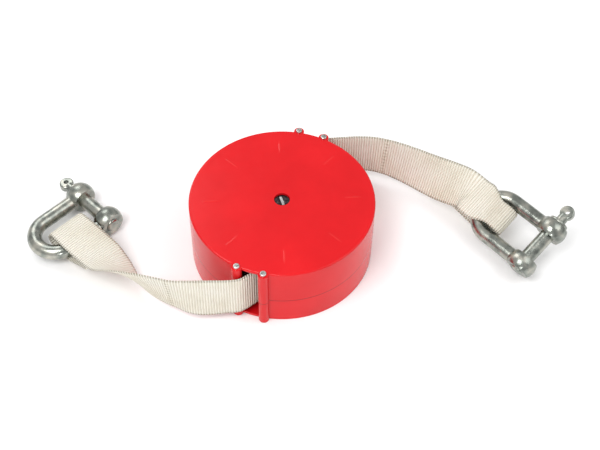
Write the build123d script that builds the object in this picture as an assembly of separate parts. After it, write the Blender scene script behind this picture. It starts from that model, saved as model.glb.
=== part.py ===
from build123d import *
import math
import os

os.makedirs("parts", exist_ok=True)

# Double-strap spring winch: round two-half case, fixed slotted arbor, spring drum,
# two 50 mm straps and two 14 mm D shackles. Millimetres, +Z up, base at z = 0.
CASE_R = 85.0
CASE_H = 68.0
CASE_WALL = 2.8
PLATE = 3.0
SEAM_Z = 29.0
BOSS_R = 4.75
BOSS_PCR = 85.7
BOSS_ANGLES = (-117.5, -101.0, 62.5, 79.0)
ARBOR_R = 6.75
FLANGE_R = 72.0
TOOTH_DEPTH = 4.0
TEETH = 24
TOOTH_PHASE = 191.8
HUB_R = 38.0
HUB_IN_R = 34.5
STRAP_T = 2.2
STRAP_W = 50.0
STRAP_Z = 34.0
COIL_R = 45.0
COIL_PITCH = 5.2
ROD_R = 7.0
LEG_X = 21.0
ARC_Y = 45.0
EYE_R = 14.0
PIN_CLEAR = 0.05
PAWL_X = -77.5
PAWL_LEN = 16.0


def save(shape, name):
    """Writes one node to its STEP file."""
    export_step(shape, "parts/" + name + ".step")


def disc(radius, low, high, x=0.0, y=0.0):
    """Upright cylinder between two heights."""
    body = Cylinder(radius, high - low, align=(Align.CENTER, Align.CENTER, Align.MIN))
    return Pos(x, y, low) * body


def ring(outer, inner, low, high):
    """Upright tube between two heights."""
    return disc(outer, low, high) - disc(inner, low - 1, high + 1)


def polar(radius, degrees):
    """Point on a circle about the case's axis."""
    angle = math.radians(degrees)
    return radius * math.cos(angle), radius * math.sin(angle)


def wedge(start, end, low, high):
    """Sector that clears the wall between two rim bosses."""
    points = [(0.0, 0.0), polar(110, start), polar(110, end)]
    face = make_face(Polyline(*points, close=True))
    block = extrude(face, high - low)
    return Pos(0, 0, low) * block - disc(78, low - 1, high + 1)


# Case halves: the lower cup carries the floor, the upper one the cover plate.
lower = ring(CASE_R, CASE_R - CASE_WALL, 0, SEAM_Z) + disc(CASE_R - 1, 0, PLATE)
upper = disc(CASE_R, SEAM_Z, CASE_H)
upper = fillet(upper.edges().filter_by(GeomType.CIRCLE).sort_by(Axis.Z)[-1], 1.5)
upper = upper - disc(CASE_R - CASE_WALL, SEAM_Z - 1, CASE_H - PLATE)
for start, end in ((-117.5, -101.0), (62.5, 79.0)):
    lower = lower - wedge(start, end, PLATE, SEAM_Z + 1)
    upper = upper - wedge(start, end, SEAM_Z - 1, CASE_H - PLATE)
for angle in BOSS_ANGLES:
    bx, by = polar(BOSS_PCR, angle)
    lower = lower + disc(BOSS_R, 0, SEAM_Z, bx, by)
    upper = upper + disc(BOSS_R, SEAM_Z, CASE_H, bx, by)
for angle in BOSS_ANGLES:
    bx, by = polar(BOSS_PCR, angle)
    lower = lower - disc(2.75, 13, SEAM_Z + 1, bx, by)
    upper = upper - disc(2.1, SEAM_Z - 1, CASE_H + 1, bx, by)
lower = lower - disc(ARBOR_R, 2, 4)
upper = upper - disc(ARBOR_R + 0.5, 60, CASE_H + 1)
save(lower, "lower_case")
save(upper, "upper_case")

# Four pan-head screws stand in brass inserts in the lower bosses.
screws = []
inserts = []
for angle in BOSS_ANGLES:
    bx, by = polar(BOSS_PCR, angle)
    head = disc(2.9, CASE_H, CASE_H + 2, bx, by)
    head = fillet(head.edges().filter_by(GeomType.CIRCLE).sort_by(Axis.Z)[-1], 0.8)
    screw = head + disc(1.7, 16, CASE_H + 0.5, bx, by)
    cross = Box(3.4, 0.8, 2.4) + Box(0.8, 3.4, 2.4)
    screw = screw - Pos(bx, by, CASE_H + 2) * cross
    screws.append(screw)
    inserts.append(disc(2.75, 14, SEAM_Z, bx, by) - disc(1.7, 13, SEAM_Z + 1, bx, by))
save(Compound(children=screws), "case_screws")
save(Compound(children=inserts), "threaded_inserts")

# Fixed arbor, its flat key in the top slot, and the thrust washer below the cover.
slot_turn = Rot(0, 0, 107)
arbor = disc(ARBOR_R, 2, 66) + disc(10, PLATE, 4)
arbor = arbor - slot_turn * Pos(0, 0, 61) * Box(10.2, 2.4, 12)
save(arbor, "spring_arbor")
save(slot_turn * Pos(0, 0, 60.4) * Box(10, 2.3, 10.8), "arbor_key")
save(ring(11, ARBOR_R + 0.02, 64.1, 65), "arbor_washer")

# Drum: hub cup, toothed lower flange, plain upper flange, bushes and fasteners.
teeth = []
for i in range(TEETH):
    base = TOOTH_PHASE + i * 360 / TEETH
    teeth.append(polar(FLANGE_R - TOOTH_DEPTH, base - 0.01))
    teeth.append(polar(FLANGE_R, base))
    teeth.append(polar(FLANGE_R - TOOTH_DEPTH / 2, base + 180 / TEETH))
ratchet = Pos(0, 0, 5) * extrude(make_face(Polyline(*teeth, close=True)), 2)
ratchet = ratchet - disc(12, 4, 8)
hub = ring(HUB_R, HUB_IN_R, 7, 60.5) + ring(HUB_R - 1, 9, 7, 9.5)
top_flange = ring(FLANGE_R, 9, 60.5, 62.5)
rivets = []
flange_screws = []
for i in range(6):
    x, y = polar(22, 60 * i)
    ratchet = ratchet - disc(2, 4, 8, x, y)
    hub = hub - disc(2, 6, 10, x, y)
    rivet = disc(2, 4.4, 10.2, x, y) + disc(3.4, 4.3, 5, x, y) + disc(3.4, 9.5, 10.3, x, y)
    rivets.append(rivet)
    x, y = polar(36.25, 60 * i + 15)
    hub = hub - disc(1.2, 54, 61, x, y)
    top_flange = top_flange - disc(1.2, 60, 63, x, y)
    flange_screws.append(disc(1.2, 54, 62.8, x, y) + disc(2.2, 62.5, 63.4, x, y))
save(ratchet, "ratchet_flange")
save(hub, "drum_hub")
save(top_flange, "upper_flange")
save(Compound(children=rivets), "lower_flange_rivets")
save(Compound(children=flange_screws), "upper_flange_screws")
bush_bore = ARBOR_R + PIN_CLEAR
save(ring(9, bush_bore, 4.1, 9.5), "lower_bush")
save(ring(9, bush_bore, 60.5, 62.5) + ring(11, bush_bore, 62.5, 64), "upper_bush")


def spiral(start_deg, turns, radius, pitch, thick, low, high):
    """Strip wound inward from radius, anticlockwise from start_deg."""
    count = int(turns * 24) + 1
    outer = []
    inner = []
    for i in range(count + 1):
        turn = turns * i / count
        mid = radius - pitch * turn
        outer.append(polar(mid + thick / 2, start_deg + 360 * turn))
        inner.append(polar(mid - thick / 2, start_deg + 360 * turn))
    inner.reverse()
    edges = [Spline(*outer), Line(outer[-1], inner[0]), Spline(*inner), Line(inner[-1], outer[0])]
    return Pos(0, 0, low) * extrude(make_face(edges), high - low)


# Mainspring between hub and arbor, and the two straps' wound turns.
save(spiral(0, 8, 33.9, 3.2, 0.8, 12, 58), "mainspring")
low_z = STRAP_Z - STRAP_W / 2
wound = spiral(-51.4, 1.05, COIL_R - 0.03, COIL_PITCH, STRAP_T, low_z, low_z + STRAP_W)
save(wound, "left_wound_strap")
save(Rot(0, 0, 180) * wound, "right_wound_strap")

# Pawl, its pin on the case floor, and its small coil spring.
pawl = disc(3.6, 4.5, 7.5, PAWL_X, 0)
pawl = pawl + Pos(PAWL_X, -PAWL_LEN / 2, 6) * Box(2.4, PAWL_LEN, 3)
pawl = pawl - disc(2 + PIN_CLEAR, 4, 8, PAWL_X, 0)
save(pawl, "pawl")
save(disc(2, PLATE, 14, PAWL_X, 0), "pawl_pin")
helix = Helix(pitch=1.3, height=3.9, radius=3.0)
wire = sweep(Plane(origin=helix @ 0, z_dir=helix % 0) * Circle(0.45), path=helix, is_frenet=True)
save(Pos(PAWL_X, 0, 8.6) * wire, "pawl_spring")


def unit(v):
    """Unit vector."""
    size = math.sqrt(sum(c * c for c in v))
    return tuple(c / size for c in v)


def shackle(origin, pin_dir, leg_dir):
    """D shackle bow and eyed pin, placed with the pin along pin_dir."""
    place = Location(Plane(origin=origin, x_dir=pin_dir, z_dir=cross(pin_dir, leg_dir)))
    level = (Align.CENTER, Align.MIN, Align.CENTER)
    bow = Pos(0, ARC_Y, 0) * Torus(LEG_X, ROD_R, major_angle=180, align=level)
    hole = Rot(0, 90, 0) * Cylinder(ROD_R + PIN_CLEAR, 80)
    for side in (-1, 1):
        bow = bow + Pos(side * LEG_X, ARC_Y / 2, 0) * Rot(90, 0, 0) * Cylinder(ROD_R, ARC_Y)
        bow = bow + Pos(side * LEG_X, 0, 0) * (Sphere(EYE_R) & Box(14.4, 30, 30))
    bow = bow - hole
    shank = Cylinder(ROD_R, 58.5)
    shank = fillet(shank.edges().filter_by(GeomType.CIRCLE).sort_by(Axis.Z)[0], 2.5)
    pin = Pos(-0.75, 0, 0) * Rot(0, 90, 0) * shank
    collar = Cylinder(9.5, 3.4)
    collar = fillet(collar.edges().filter_by(GeomType.CIRCLE), 1.2)
    pin = pin + Pos(30.1, 0, 0) * Rot(0, 90, 0) * collar
    pin = pin + Pos(34, 0, 0) * Rot(0, 90, 0) * Cylinder(5, 10)
    tab = Cylinder(6.8, 7)
    tab = fillet(tab.edges().filter_by(GeomType.CIRCLE), 1.5)
    pin = pin + Pos(42.5, 0, 0) * tab - Pos(43, 0, 0) * Cylinder(2.5, 12)
    return place * bow, place * pin


def cross(a, b):
    """Vector product."""
    return (
        a[1] * b[2] - a[2] * b[1],
        a[2] * b[0] - a[0] * b[2],
        a[0] * b[1] - a[1] * b[0],
    )


def loop(centre, toward, width_dir, root, reach, width, thick=STRAP_T):
    """Sewn end loop: upper layer, fold inside the shackle, lower layer back to the root."""
    h = ROD_R + 0.35 + thick / 2
    tail = (-root, h - thick - 0.12)
    far = math.hypot(*tail)
    tangent = math.atan2(tail[1], tail[0]) + math.acos(h / far)
    path = [(-root, h), (0, h), (reach, h)]
    for i in range(1, 12):
        a = math.pi / 2 - math.pi * i / 12
        path.append((reach + h * math.cos(a), h * math.sin(a)))
    path += [(reach, -h)]
    steps = 8
    for i in range(steps + 1):
        a = 1.5 * math.pi + (tangent - 1.5 * math.pi) * i / steps
        path.append((h * math.cos(a), h * math.sin(a)))
    path.append(tail)
    left = []
    right = []
    for i, (x, y) in enumerate(path):
        x0, y0 = path[max(i - 1, 0)]
        x1, y1 = path[min(i + 1, len(path) - 1)]
        tx, ty, _ = unit((x1 - x0, y1 - y0, 0))
        left.append((x - ty * thick / 2, y + tx * thick / 2))
        right.append((x + ty * thick / 2, y - tx * thick / 2))
    right.reverse()
    face = make_face(Polyline(*left, *right, close=True))
    body = Pos(0, 0, -width / 2) * extrude(face, width)
    place = Location(Plane(origin=centre, x_dir=toward, z_dir=width_dir))
    return place * body


def ribbon(stations):
    """Strap through stations of x, y, z, lean in degrees and width."""
    knots = [Vector(*s[:3]) for s in stations]
    faces = []
    for i, s in enumerate(stations):
        ahead = knots[min(i + 1, len(knots) - 1)] - knots[max(i - 1, 0)]
        t = ahead.normalized()
        side = Vector(-t.Y, t.X, 0).normalized()
        up = side.cross(t)
        if up.Z < 0:
            up = up * -1
        lean = math.radians(s[3])
        rule = (up * math.cos(lean) + side * math.sin(lean)).normalized()
        plane = Plane(origin=knots[i], x_dir=rule, z_dir=t)
        faces.append(plane * Rectangle(s[4], STRAP_T))
    return loft(faces, ruled=True)


def exit_run(sign):
    """Stations from the coil past the rim boss, the same for both straps by half a turn."""
    run = [(26.6, -36.0), (10.0, -48.3), (-10.0, -63.1), (-26.0, -74.9), (-33.0, -80.1)]
    run += [(-37.0, -82.4), (-42.0, -83.6), (-50.0, -84.2)]
    return [(sign * x, sign * y, STRAP_Z, 0, STRAP_W) for x, y in run]


# Left shackle lies flat; its loop sits on the leg nearer the case.
LEFT_PIN_DIR = unit((-1, 1, 0))
LEFT_LEG_DIR = unit((-1, -1, 0))
LEFT_MID = (-181.0, 33.0, 14.0)
left_bow, left_pin = shackle(LEFT_MID, LEFT_PIN_DIR, LEFT_LEG_DIR)
save(left_bow, "left_shackle_bow")
save(left_pin, "left_shackle_pin")
leg_point = [m - LEG_X * p + 34 * l for m, p, l in zip(LEFT_MID, LEFT_PIN_DIR, LEFT_LEG_DIR)]
back = tuple(-c for c in LEFT_LEG_DIR)
save(loop(leg_point, LEFT_PIN_DIR, back, 34, 15, 38), "left_strap_loop")
lift = ROD_R + 0.35 + STRAP_T / 2
left_end = [c - 36.5 * p for c, p in zip(leg_point, LEFT_PIN_DIR)]
left_stations = exit_run(1) + [
    (-60.0, -84.9, 34.0, -2, 49.5),
    (-72.0, -85.2, 34.0, -3, 49),
    (-84.0, -84.2, 34.0, -1, 48),
    (-96.0, -81.2, 33.8, 5, 47),
    (-108.0, -76.4, 33.2, 12, 46),
    (-120.0, -70.4, 31.8, 20, 44),
    (-131.0, -63.2, 29.8, 32, 42.5),
    (-141.0, -54.9, 27.6, 48, 41),
    (-150.0, -46.4, 25.4, 66, 39.5),
    (-158.5, -38.1, 23.4, 82, 38.5),
    (left_end[0], left_end[1], left_end[2] + lift, 90, 38),
]
save(ribbon(left_stations), "left_strap")

# Right shackle is propped at an angle; its loop sits on the crown.
RIGHT_LEG_DIR = unit((-0.66, 0.75, 0))
RIGHT_PIN_DIR = unit((0.684, 0.602, 0.414))
RIGHT_MID = (235.5, -22.5, 26.0)
right_bow, right_pin = shackle(RIGHT_MID, RIGHT_PIN_DIR, RIGHT_LEG_DIR)
save(right_bow, "right_shackle_bow")
save(right_pin, "right_shackle_pin")
crown = [m + (ARC_Y + LEG_X) * l for m, l in zip(RIGHT_MID, RIGHT_LEG_DIR)]
inward = tuple(-c for c in RIGHT_LEG_DIR)
normal = unit(cross(RIGHT_PIN_DIR, RIGHT_LEG_DIR))
save(loop(crown, inward, cross(inward, normal), 24, 22, 27), "right_strap_loop")
right_end = [c - 29.0 * v + lift * n for c, v, n in zip(crown, inward, normal)]
right_stations = exit_run(-1) + [
    (60.0, 85.4, 34.0, 0, 49.5),
    (74.0, 86.2, 34.0, 1, 48.5),
    (88.0, 85.4, 34.0, 3, 47),
    (102.0, 82.4, 33.8, 6, 45),
    (116.0, 77.4, 33.4, 11, 42.5),
    (129.0, 71.6, 33.0, 18, 39.5),
    (141.0, 65.6, 32.8, 27, 36.5),
    (151.0, 60.2, 32.8, 38, 33.5),
    (160.0, 54.4, 33.0, 52, 30.5),
    (right_end[0], right_end[1], right_end[2], 65.6, 27),
]
save(ribbon(right_stations), "right_strap")
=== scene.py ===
import bpy
import bmesh
import math
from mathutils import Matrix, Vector


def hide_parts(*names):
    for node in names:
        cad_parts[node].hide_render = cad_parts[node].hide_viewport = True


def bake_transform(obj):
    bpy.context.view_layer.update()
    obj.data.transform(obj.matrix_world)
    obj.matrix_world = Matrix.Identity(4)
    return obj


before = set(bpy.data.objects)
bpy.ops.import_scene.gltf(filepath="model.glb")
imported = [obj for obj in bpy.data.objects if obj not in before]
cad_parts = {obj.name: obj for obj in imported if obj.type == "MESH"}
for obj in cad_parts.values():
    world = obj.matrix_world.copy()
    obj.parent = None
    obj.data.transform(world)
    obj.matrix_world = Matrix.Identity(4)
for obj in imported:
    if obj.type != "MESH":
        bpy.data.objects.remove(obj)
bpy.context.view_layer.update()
scene = bpy.context.scene

# Case: two glossy red moulded halves, screwed together at four rim bosses. The flat cover
# shows eight faint radial sink marks above its inner ribs, bumped and lightened as painted
# highlights; the wall shows the seam between the halves as a dark line of painted shade,
# and the skin has a fine ripple with small scuffs.


def rgb(text):
    """Colour from an sRGB hex string, in linear light."""
    values = [int(text[i:i + 2], 16) / 255 for i in (0, 2, 4)]
    linear = [v / 12.92 if v <= 0.04045 else ((v + 0.055) / 1.055) ** 2.4 for v in values]
    return (*linear, 1.0)


class Material:
    """A node material that is built up one node at a time."""

    def __init__(self, name, **shader):
        self.mat = bpy.data.materials.new(name)
        self.mat.use_nodes = True
        self.tree = self.mat.node_tree
        self.shader = self.tree.nodes["Principled BSDF"]
        for key, value in shader.items():
            self.shader.inputs[key.replace("_", " ")].default_value = value
        self.coords = self.tree.nodes.new("ShaderNodeTexCoord")

    def node(self, kind, inputs=None, **settings):
        made = self.tree.nodes.new("ShaderNode" + kind)
        for key, value in settings.items():
            setattr(made, key, value)
        for key, value in (inputs or {}).items():
            if isinstance(value, bpy.types.NodeSocket):
                self.tree.links.new(value, made.inputs[key])
            else:
                made.inputs[key].default_value = value
        return made

    def math(self, operation, a, b=0.0):
        return self.node("Math", {0: a, 1: b}, operation=operation).outputs[0]

    def noise(self, scale, detail=3.0, vector=None, rough=0.55):
        inputs = {"Vector": vector or self.coords.outputs["Object"], "Scale": scale,
                  "Detail": detail, "Roughness": rough}
        return self.node("TexNoise", inputs).outputs["Fac"]

    def ramp(self, factor, *stops):
        made = self.node("ValToRGB", {"Fac": factor})
        while len(made.color_ramp.elements) < len(stops):
            made.color_ramp.elements.new(0.5)
        for element, (place, colour) in zip(made.color_ramp.elements, stops):
            element.position = place
            element.color = rgb(colour)
        return made.outputs["Color"]

    def span(self, factor, low, high, start=0.0, end=1.0):
        inputs = {"Value": factor, "From Min": start, "From Max": end,
                  "To Min": low, "To Max": high}
        return self.node("MapRange", inputs).outputs["Result"]

    def bump(self, height, distance, strength=1.0, under=None):
        inputs = {"Height": height, "Distance": distance, "Strength": strength}
        if under is not None:
            inputs["Normal"] = under
        return self.node("Bump", inputs).outputs["Normal"]

    def link(self, **sockets):
        for key, value in sockets.items():
            self.tree.links.new(value, self.shader.inputs[key.replace("_", " ")])
        return self.mat


RIB_ANGLE_OFFSET = 0.035
SEAM_HEIGHT = 0.029
WALL_START = 0.0835
red = Material("red_casing", Specular_IOR_Level=0.30)
axes = red.node("SeparateXYZ", {"Vector": red.coords.outputs["Object"]})
angle = red.math("ARCTAN2", axes.outputs["Y"], axes.outputs["X"])
turned = red.math("ADD", angle, 10.0 * math.pi - RIB_ANGLE_OFFSET)
eighth = red.math("PINGPONG", turned, math.pi / 8)
radius = red.math("SQRT", red.math("ADD", red.math("POWER", axes.outputs["X"], 2.0),
                                   red.math("POWER", axes.outputs["Y"], 2.0)))
off_line = red.math("MULTIPLY", eighth, radius)
line = red.span(off_line, 1.0, 0.0, 0.0003, 0.0011)
reach = red.math("MULTIPLY", red.span(radius, 0.0, 1.0, 0.056, 0.060),
                 red.span(radius, 1.0, 0.0, 0.068, 0.073))
mark = red.math("MULTIPLY", line, reach)
mark = red.math("MULTIPLY", mark, red.span(axes.outputs["Z"], 0.0, 1.0, 0.0675, 0.0679))
tone = red.ramp(red.noise(22.0, 4.0), (0.25, "C90C14"), (0.6, "D41018"), (0.85, "DC181E"))
# Painted highlight: the sink marks are lightened towards light red in the base colour.
painted_mark_highlight = red.node("Mix", {"Factor": red.math("MULTIPLY", mark, 0.12)}, data_type="RGBA")
ripple = red.bump(red.noise(60.0, 2.0), 0.0004, 0.10)
scuff_inputs = {"Vector": red.coords.outputs["Object"], "Scale": 900.0, "Detail": 2.0}
scuffs = red.node("TexNoise", scuff_inputs)
# Painted shade: a dark line along the gap between the two halves, on the wall only.
from_seam = red.math("ABSOLUTE", red.math("SUBTRACT", axes.outputs["Z"], SEAM_HEIGHT))
seam = red.span(from_seam, 1.0, 0.0, 0.0002, 0.0006)
seam = red.math("MULTIPLY", seam, red.math("GREATER_THAN", radius, WALL_START))
painted_seam_shade = red.node("MixRGB", {"Fac": red.math("MULTIPLY", seam, 0.7), "Color2": rgb("5E0004")})
red.tree.links.new(painted_mark_highlight.outputs[2], painted_seam_shade.inputs["Color1"])
surface = red.bump(mark, 0.0006, 0.3, red.bump(scuffs.outputs["Fac"], 0.00006, 0.25, ripple))
red.tree.links.new(tone, painted_mark_highlight.inputs[6])
painted_mark_highlight.inputs[7].default_value = rgb("FF5A50")
red.link(Base_Color=painted_seam_shade.outputs["Color"], Normal=surface,
         Roughness=red.span(red.noise(140.0, 5.0), 0.16, 0.30))
for name in ("lower_case", "upper_case"):
    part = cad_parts[name]
    part.data.materials.clear()
    part.data.materials.append(red.mat)


# Metal parts: hot-dip galvanised shackles with mottled spangle and brown tinge,
# bright zinc screws and drum, dark oiled steel arbor, brass inserts, acetal bushes.
def metal(name, low, mid, high, rough, cell, grain, metallic=1.0):
    made = Material(name, Metallic=metallic)
    patch = made.node("TexVoronoi", {"Vector": made.coords.outputs["Object"], "Scale": cell})
    cloud = made.noise(cell * 0.6, 5.0)
    blend = made.math("ADD", made.math("MULTIPLY", patch.outputs["Distance"], 0.35),
                      made.math("MULTIPLY", cloud, 0.75))
    colour = made.ramp(blend, (0.30, low), (0.52, mid), (0.75, high))
    coarse = made.bump(made.noise(cell * 1.4, 3.0), 0.0010, grain)
    fine = made.bump(made.noise(cell * 9.0, 2.0), 0.00015, grain, coarse)
    return made.link(Base_Color=colour, Normal=fine, Roughness=made.span(cloud, *rough, 0.3, 0.7))


galvanised = metal("galvanised", "6C706B", "939790", "BDBAAF", (0.20, 0.38), 150.0, 0.20)
zinc = metal("zinc_plate", "9A9A94", "C4C4C0", "E4E4E2", (0.22, 0.36), 420.0, 0.12)
dark = metal("oiled_steel", "1E1D1E", "3A3436", "5C5456", (0.30, 0.50), 500.0, 0.15)
bright = metal("bright_steel", "B8B4B0", "DAD8D6", "F4F4F4", (0.14, 0.26), 500.0, 0.10)
blued = metal("spring_steel", "2C323C", "4A525E", "7A828C", (0.24, 0.40), 400.0, 0.12)
brass = metal("brass", "8A6A2C", "B8924A", "DDBB74", (0.25, 0.42), 500.0, 0.12)
acetal = metal("acetal", "0E0E0F", "18181A", "242427", (0.42, 0.60), 400.0, 0.15, 0.0)
finishes = {
    "case_screws": zinc, "threaded_inserts": brass, "spring_arbor": dark, "arbor_key": bright,
    "arbor_washer": acetal, "pawl_pin": bright, "ratchet_flange": zinc, "drum_hub": zinc,
    "upper_flange": zinc, "lower_flange_rivets": bright, "upper_flange_screws": zinc,
    "lower_bush": acetal, "upper_bush": acetal, "mainspring": blued, "pawl": dark,
    "pawl_spring": blued, "left_shackle_bow": galvanised, "left_shackle_pin": galvanised,
    "right_shackle_bow": galvanised, "right_shackle_pin": galvanised,
}
for name, material in finishes.items():
    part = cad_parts[name]
    part.data.materials.clear()
    part.data.materials.append(material)

# Woven polyester webbing: crosswise ribs 2.4 mm apart with fine warp cords between them,
# a beaded selvage on both edges, one crosswise row of square stitches and slight cream
# staining. The weave's grooves and the stitch row are darkened in colour as painted shade.
# UV is in metres on the strap.
RIB_PITCH = 0.0024
CORD_PITCH = 0.0017
TICK_PITCH = 0.0044
SELVAGE_START = 0.0228
STITCH_ROW_AT = 0.143
cloth = Material("webbing", Roughness=0.82, Specular_IOR_Level=0.25)
uv = cloth.node("SeparateXYZ", {"Vector": cloth.coords.outputs["UV"]})
width, length = uv.outputs["X"], uv.outputs["Y"]
wobble = cloth.math("MULTIPLY", cloth.noise(300.0, 2.0), 0.0006)
wavy = cloth.math("ADD", length, wobble)
rib = cloth.math("SINE", cloth.math("MULTIPLY", wavy, 2 * math.pi / RIB_PITCH))
cord = cloth.math("SINE", cloth.math("MULTIPLY", width, 2 * math.pi / CORD_PITCH))
bead = cloth.math("GREATER_THAN", cloth.math("ABSOLUTE", width), SELVAGE_START)
weave = cloth.math("ADD", cloth.math("MULTIPLY", rib, 0.7), cloth.math("MULTIPLY", cord, 0.35))
weave = cloth.math("ADD", weave, cloth.math("MULTIPLY", bead, cloth.math("MULTIPLY", rib, 0.8)))
from_row = cloth.math("ABSOLUTE", cloth.math("SUBTRACT", length, STITCH_ROW_AT))
row = cloth.span(from_row, 1.0, 0.0, 0.0016, 0.0024)
ticks = cloth.math("SINE", cloth.math("MULTIPLY", width, 2 * math.pi / TICK_PITCH))
tick = cloth.math("GREATER_THAN", ticks, 0.1)
stitch = cloth.math("MULTIPLY", row, tick)
weave = cloth.math("SUBTRACT", weave, cloth.math("MULTIPLY", stitch, 0.9))
stain = cloth.ramp(cloth.noise(28.0, 5.0), (0.25, "EDE6D6"), (0.5, "FAF6EA"), (0.8, "FFFDF6"))
# Painted shade and light of the weave: grooves and stitch row darkened, rib crests lightened, in
# the base colour, then multiplied with the real staining.
depth = cloth.span(weave, 0.0, 1.0, -1.0, 1.0)
painted_weave_shade = cloth.ramp(depth, (0.0, "B9AF9C"), (0.42, "FAF8F2"), (1.0, "FFFFFF"))
stain_and_painted_shade = cloth.node("MixRGB", {"Fac": 0.75, "Color1": stain, "Color2": painted_weave_shade},
                   blend_type="MULTIPLY")
fibre = cloth.bump(cloth.noise(2500.0, 2.0), 0.0001, 0.3)
cloth.link(Base_Color=stain_and_painted_shade.outputs["Color"], Normal=cloth.bump(weave, 0.0006, 1.0, fibre))
for name in ("left_wound_strap", "right_wound_strap"):
    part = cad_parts[name]
    part.data.materials.clear()
    part.data.materials.append(cloth.mat)


def smooth_path(stations, step=0.0014):
    """Catmull-Rom through stations of position, width direction and width."""
    rows = []
    for i in range(len(stations) - 1):
        four = [stations[max(i - 1, 0)], stations[i], stations[i + 1],
                stations[min(i + 2, len(stations) - 1)]]
        count = max(2, int((four[2][0] - four[1][0]).length / step))
        for k in range(count):
            t = k / count
            weights = (-0.5 * t + t * t - 0.5 * t ** 3, 1 - 2.5 * t * t + 1.5 * t ** 3,
                       0.5 * t + 2 * t * t - 1.5 * t ** 3, -0.5 * t * t + 0.5 * t ** 3)
            point = sum((w * s[0] for w, s in zip(weights, four)), Vector())
            rule = sum((w * s[1] for w, s in zip(weights, four)), Vector()).normalized()
            rows.append((point, rule, sum(w * s[2] for w, s in zip(weights, four))))
    rows.append(stations[-1])
    return rows


def band(name, stations, thick):
    """A strap of webbing along the stations, closed, with rounded selvages and UV in metres."""
    rows = smooth_path(stations)
    mesh = bmesh.new()
    layer = mesh.loops.layers.uv.new("UVMap")
    columns = 14
    half_strap = 0.025
    rings = []
    run = 0.0
    for i, (point, rule, width) in enumerate(rows):
        ahead = (rows[min(i + 1, len(rows) - 1)][0] - rows[max(i - 1, 0)][0]).normalized()
        normal = ahead.cross(rule).normalized()
        run += (point - rows[i - 1][0]).length if i else 0.0
        ring = []
        for side in (1, -1):
            for c in range(columns + 1):
                u = side * (1 - 2 * c / columns)
                edge = 1 - 0.75 * max(0.0, (abs(u) - 0.94) / 0.06) ** 2
                offset = normal * side * thick / 2 * edge
                vert = mesh.verts.new(point + rule * u * width / 2 + offset)
                ring.append((vert, u * half_strap, run))
        rings.append(ring)
    size = len(rings[0])
    for a, b in zip(rings, rings[1:]):
        for c in range(size):
            corners = [a[c], a[(c + 1) % size], b[(c + 1) % size], b[c]]
            face = mesh.faces.new([v[0] for v in corners])
            face.smooth = True
            for corner, v in zip(face.loops, corners):
                corner[layer].uv = (v[1], v[2])
    for ring in (rings[0], rings[-1]):
        mesh.faces.new([v[0] for v in ring])
    bmesh.ops.recalc_face_normals(mesh, faces=mesh.faces)
    data = bpy.data.meshes.new(name)
    mesh.to_mesh(data)
    mesh.free()
    data.materials.append(cloth.mat)
    obj = bpy.data.objects.new(name, data)
    scene.collection.objects.link(obj)
    return obj, run


def leaning(points):
    """Stations from x, y, z, lean in degrees and width, all in millimetres."""
    knots = [Vector(p[:3]) / 1000 for p in points]
    made = []
    for i, p in enumerate(points):
        ahead = (knots[min(i + 1, len(knots) - 1)] - knots[max(i - 1, 0)]).normalized()
        side = Vector((-ahead.y, ahead.x, 0)).normalized()
        up = side.cross(ahead)
        up = up if up.z > 0 else -up
        lean = math.radians(p[3])
        rule = (up * math.cos(lean) + side * math.sin(lean)).normalized()
        made.append((knots[i], rule, p[4] / 1000))
    return made


def end_loop(centre, toward, rule, up, root, reach, width, mouth):
    """Stations of the sewn loop: over the rod, round the fold and back under to the seam."""
    h = 8.45
    path = [(-root * 0.6, h), (-root * 0.3, h), (0, h), (reach * 0.6, h), (reach, h)]
    for i in range(1, 8):
        a = math.pi / 2 - math.pi * i / 8
        path.append((reach + h * math.cos(a), h * math.sin(a)))
    path += [(reach, -h), (reach * 0.5, -h)]
    tail = (-root, h - 2.34)
    tangent = math.atan2(tail[1], tail[0]) + math.acos(h / math.hypot(*tail))
    for i in range(5):
        a = 1.5 * math.pi + (tangent - 1.5 * math.pi) * i / 4
        path.append((h * math.cos(a), h * math.sin(a)))
    bottom = path[-1]
    for t in (0.35, 0.7, 1.0):
        path.append((bottom[0] + (tail[0] - bottom[0]) * t, bottom[1] + (tail[1] - bottom[1]) * t))
    made = []
    for a, b in path:
        outside = min(1.0, max(0.0, (14.0 - a) / 10.0))
        spread = width + (mouth - width) * outside
        made.append((centre + (toward * a + up * b) / 1000, rule, spread / 1000))
    return made


def strap(name, run, joint_end, nodes):
    """One continuous strap with its loop, from the wound coil to the end of the seam."""
    obj, length = band(name, run + joint_end, 0.0022)
    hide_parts(*nodes)
    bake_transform(obj)
    print(name, "length", round(length, 4))
    return obj


# Left strap: upright past the rim boss, then a quarter twist towards the front so that it
# lies flat at the shackle, where its loop wraps the leg nearer the case.
exit_run = [(26.6, -36.0), (10.0, -48.3), (-10.0, -63.1), (-26.0, -74.9), (-33.0, -80.1),
            (-37.0, -82.4), (-42.0, -83.6), (-50.0, -84.2)]
left_points = [(x, y, 34, 0, 50) for x, y in exit_run] + [
    (-60, -84.9, 34, -2, 49.5), (-72, -85.2, 34, -3, 49), (-84, -84.2, 34, -1, 48),
    (-96, -81.2, 33.8, 5, 47), (-108, -76.6, 33.2, 8, 46.5), (-120, -70.8, 31.8, 13, 45.5),
    (-131, -63.8, 29.8, 22, 44), (-141, -55.6, 27.6, 36, 42.5), (-150, -47.0, 25.4, 54, 41),
    (-158.5, -38.5, 23.4, 74, 39.5)]
across = Vector((-1, 1, 0)).normalized()
along = Vector((-1, -1, 0)).normalized()
left_hub = (Vector((-181, 33, 14)) - across * 21 + along * 34) / 1000
left_run = leaning(left_points + [(*((left_hub * 1000 - across * 33)[:2]), 22.45, 88, 39)])
left_loop = end_loop(left_hub, across, along, Vector((0, 0, 1)), 34, 15, 38, 39)
strap("left_strap_webbing", left_run, left_loop,
      ("left_strap", "left_strap_loop"))

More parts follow.
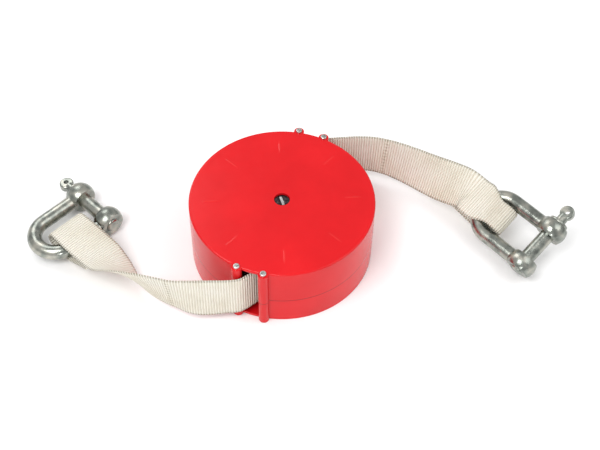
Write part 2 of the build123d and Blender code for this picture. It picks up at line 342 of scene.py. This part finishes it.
# Right strap: stands on edge most of the way, then turns with the tilted shackle and
# loops round its crown, bunched to pass between the legs.
right_points = [(-x, -y, 34, 0, 50) for x, y in exit_run] + [
    (60, 85.4, 34, 0, 49.5), (74, 86.2, 34, 1, 48.5), (88, 85.4, 34, 3, 47),
    (102, 82.0, 33.4, 6, 46), (116, 76.2, 32.6, 11, 45), (129, 69.4, 31.8, 17, 44),
    (142, 61.8, 31.2, 25, 43), (153, 55.4, 31.2, 35, 42), (163, 49.6, 32.0, 48, 41)]
leg = Vector((-0.66, 0.75, 0)).normalized()
pin = Vector((0.684, 0.602, 0.414)).normalized()
rise = pin.cross(leg).normalized()
crown = (Vector((235.5, -22.5, 26)) + leg * 66) / 1000
root = crown * 1000 + leg * 23 + rise * 8.45
right_run = leaning(right_points + [(*root, 65.6, 41)])
right_loop = end_loop(crown, -leg, pin, rise, 24, 22, 27, 40)
strap("right_strap_webbing", right_run, right_loop,
      ("right_strap", "right_strap_loop"))

# Plain pale floor, three broad soft panels above, and one small lamp low in front that
# puts a highlight on the case's wall.
floor = bmesh.new()
bmesh.ops.create_grid(floor, x_segments=2, y_segments=2, size=6.0)
floor_data = bpy.data.meshes.new("floor")
floor.to_mesh(floor_data)
floor.free()
ground = bpy.data.objects.new("floor", floor_data)
ground.location.z = -0.0005
scene.collection.objects.link(ground)
paper = Material("paper", Roughness=0.9)
paper.link(Base_Color=paper.ramp(paper.noise(3.0), (0.0, "F7F7F7"), (1.0, "FBFBFB")))
floor_data.materials.append(paper.mat)
lamps = (
    ((-0.5, -0.6, 1.3), 12, 0.7),
    ((0.9, -0.2, 1.1), 5, 0.9),
    ((-0.6, 0.9, 1.0), 4, 0.7),
    ((0.02, -0.9, 0.30), 0.8, 0.07),
)
for place, energy, size in lamps:
    light = bpy.data.lights.new("panel", "AREA")
    light.energy = energy
    light.size = size
    lamp = bpy.data.objects.new("panel", light)
    lamp.location = place
    lamp.rotation_euler = (-Vector(place)).to_track_quat("-Z", "Y").to_euler()
    scene.collection.objects.link(lamp)
world = bpy.data.worlds.new("studio")
world.use_nodes = True
world.node_tree.nodes["Background"].inputs["Color"].default_value = rgb("FFFFFF")
world.node_tree.nodes["Background"].inputs["Strength"].default_value = 0.62
scene.world = world
scene.view_settings.view_transform = "Standard"

# Camera above and in front of the case, looking along +Y.
camera = bpy.data.objects.new("camera", bpy.data.cameras.new("camera"))
camera.location = (0.0, -0.6502, 0.8539)
camera.rotation_euler = (math.radians(90 - 50.4), 0.0, 0.0)
camera.data.sensor_width = 36.0
camera.data.lens = 67.36
camera.data.shift_x = 0.030
camera.data.shift_y = -0.043
scene.collection.objects.link(camera)
scene.camera = camera

bpy.context.view_layer.update()
